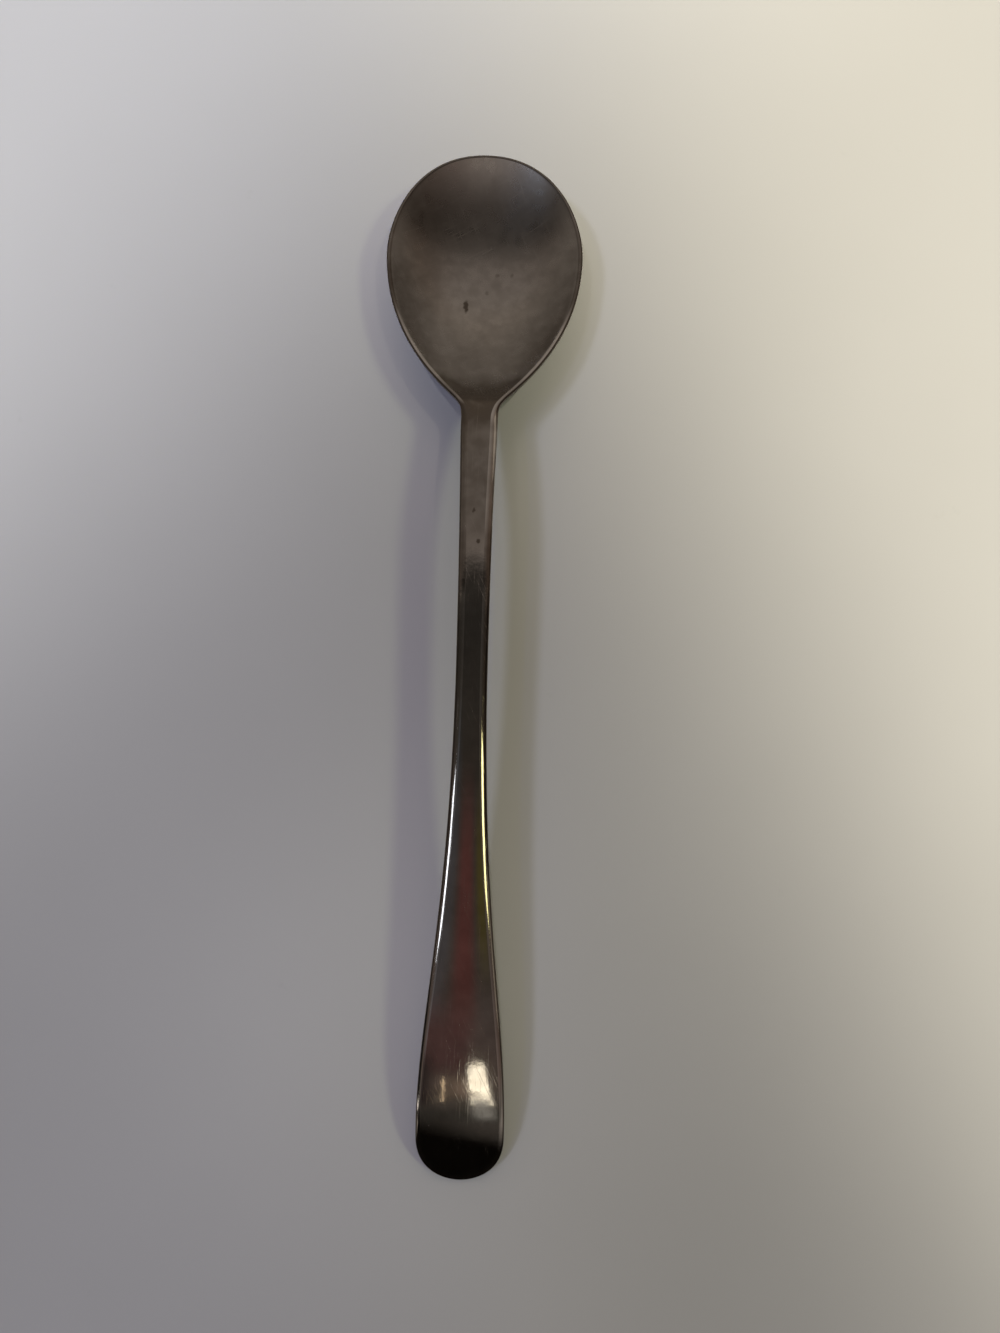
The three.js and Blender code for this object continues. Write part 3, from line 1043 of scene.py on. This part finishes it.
def add_strips():
    for strip in STRIPS:
        width, height = (side * MM for side in strip.size)
        half_spread = math.radians(strip.spread) / 2
        # The power that gives this brightness when the light keeps within the spread
        power = strip.brightness * math.pi * width * height * (1 - half_spread / math.tan(half_spread))
        lamp = add_lamp(strip.name, "AREA", strip.middle, strip.target, power, strip.colour, strip.roll)
        lamp.data.spread = 2 * half_spread
        lamp.data.shape = "RECTANGLE"
        lamp.data.size = width
        lamp.data.size_y = height
        lamp.visible_diffuse = False


# Dim glows with soft sides that only the metal sees, each a level or an upright card: where it lies along
# one axis, its reach along the other two, how soft its sides are there, and its light
Glow = namedtuple("Glow", "name fixed reach softness light")
GLOWS = (
    Glow("red_glow", {"Z": 110}, {"X": (-16, 11), "Y": (-112, -44)}, (9, 18), (0.15, 0.06, 0.055)),
    Glow("olive_glow", {"Z": 110}, {"X": (18, 34), "Y": (-90, -46)}, (6, 16), (0.12, 0.1, 0.035)),
    Glow("brown_glow", {"Z": 114}, {"X": (-50, 4), "Y": (-150, -112)}, (10, 10), (0.118, 0.065, 0.062)),
    Glow("left_shade", {"Z": 112}, {"X": (-80, -31), "Y": (-200, -135)}, (6, 12), (0.05, 0.038, 0.036)),
    Glow("left_edge_shade", {"Z": 60}, {"X": (-140, -66), "Y": (-200, -84)}, (6, 8), (0.025, 0.022, 0.02)),
    Glow("warm_glow", {"Y": -205}, {"X": (-16, 14), "Z": (134, 166)}, (14, 12), (0.32, 0.235, 0.18)),
    Glow("end_glow", {"Y": -200}, {"X": (7, 24), "Z": (92, 125)}, (5, 9), (0.4, 0.39, 0.36)),
)

# A black card that only the metal sees stands past the handle end and thins out upwards: how far along it
# stands, half its width, its height, where it starts to thin at its middle, the height over which it thins,
# how much lower that is per width to the right, and its colour
CARD_ALONG = -135
CARD_HALF_WIDTH = 50
CARD_HEIGHT = 75
CARD_SOLID_HEIGHT = 24
CARD_FADE = 40
CARD_LEAN = 0.45
CARD_COLOUR = (0.008, 0.007, 0.006, 1)


def glow_light(glow):
    """Light that fades out to clear at the sides of its card."""
    material = bpy.data.materials.new(glow.name)
    graph = Graph(material)
    place = graph.axes(graph.object_millimetres())
    first, second = (
        graph.window(place[axis], *span, softness)
        for (axis, span), softness in zip(glow.reach.items(), glow.softness)
    )
    clear = graph.add("BsdfTransparent").outputs[0]
    light = graph.add("Emission", {"Color": (*glow.light, 1)}).outputs[0]
    graph.finish(graph.add("MixShader", {0: graph.product(first, second), 1: clear, 2: light}))
    return material


def black_card():
    material = bpy.data.materials.new("black_card")
    graph = Graph(material)
    place = graph.axes(graph.object_millimetres())
    level = graph.total(place["Z"], graph.product(place["X"], CARD_LEAN))
    thin = graph.fade(level, CARD_SOLID_HEIGHT, CARD_SOLID_HEIGHT + CARD_FADE)
    black = graph.add("BsdfDiffuse", {"Color": CARD_COLOUR}).outputs[0]
    clear = graph.add("BsdfTransparent").outputs[0]
    graph.finish(graph.add("MixShader", {0: thin, 1: black, 2: clear}))
    return material


def add_card(name, fixed, reach, material):
    """A card at a fixed place along one axis that reaches from low to high along the two others."""
    (first, first_span), (second, second_span) = reach.items()
    corners = []
    for first_end, second_end in ((0, 0), (1, 0), (1, 1), (0, 1)):
        place = {**fixed, first: first_span[first_end], second: second_span[second_end]}
        corners.append(Vector((place["X"], place["Y"], place["Z"])) * MM)
    card = add_sheet(name, corners, material)
    card.visible_camera = False
    card.visible_diffuse = False
    card.visible_shadow = False


def add_cards():
    for glow in GLOWS:
        soft_reach = {
            axis: (low - softness, high + softness)
            for (axis, (low, high)), softness in zip(glow.reach.items(), glow.softness)
        }
        add_card(glow.name, glow.fixed, soft_reach, glow_light(glow))
    card_reach = {"X": (-CARD_HALF_WIDTH, CARD_HALF_WIDTH), "Z": (0, CARD_HEIGHT)}
    add_card("black_card", {"Y": CARD_ALONG}, card_reach, black_card())


# The photograph was taken from straight above, close by, with a wide lens
CAMERA_HEIGHT = 149.8
CAMERA_SIDE = 3.9
CAMERA_ALONG = 1.6
CAMERA_TURN = math.radians(1.66)
CAMERA_LENS = 27.03


def add_camera():
    data = bpy.data.cameras.new("camera")
    data.lens = CAMERA_LENS
    data.clip_start = MM
    camera = add_object("camera", data)
    camera.location = Vector((CAMERA_SIDE, CAMERA_ALONG, CAMERA_HEIGHT)) * MM
    camera.rotation_euler = (0, 0, CAMERA_TURN)
    bpy.context.scene.camera = camera


def add_spoon():
    """The coat and the blank under it, each in place of its solid."""
    coat = spoon_mesh("silver_coat", [(0, FINE), (PLATE_THICKNESS, COARSE)])
    blank = spoon_mesh("metal_blank", [(PLATE_THICKNESS, COARSE)])
    coat.data.materials.append(worn_silver())
    blank.data.materials.append(nickel_silver())
    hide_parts("silver_plate")
    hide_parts("base_metal_blank")
    for piece in (coat, blank):
        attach(piece, "root")


add_camera()
add_spoon()
add_floor()
set_room()
add_suns()
add_pools()
add_strips()
add_cards()
bpy.context.scene.view_settings.view_transform = "Standard"
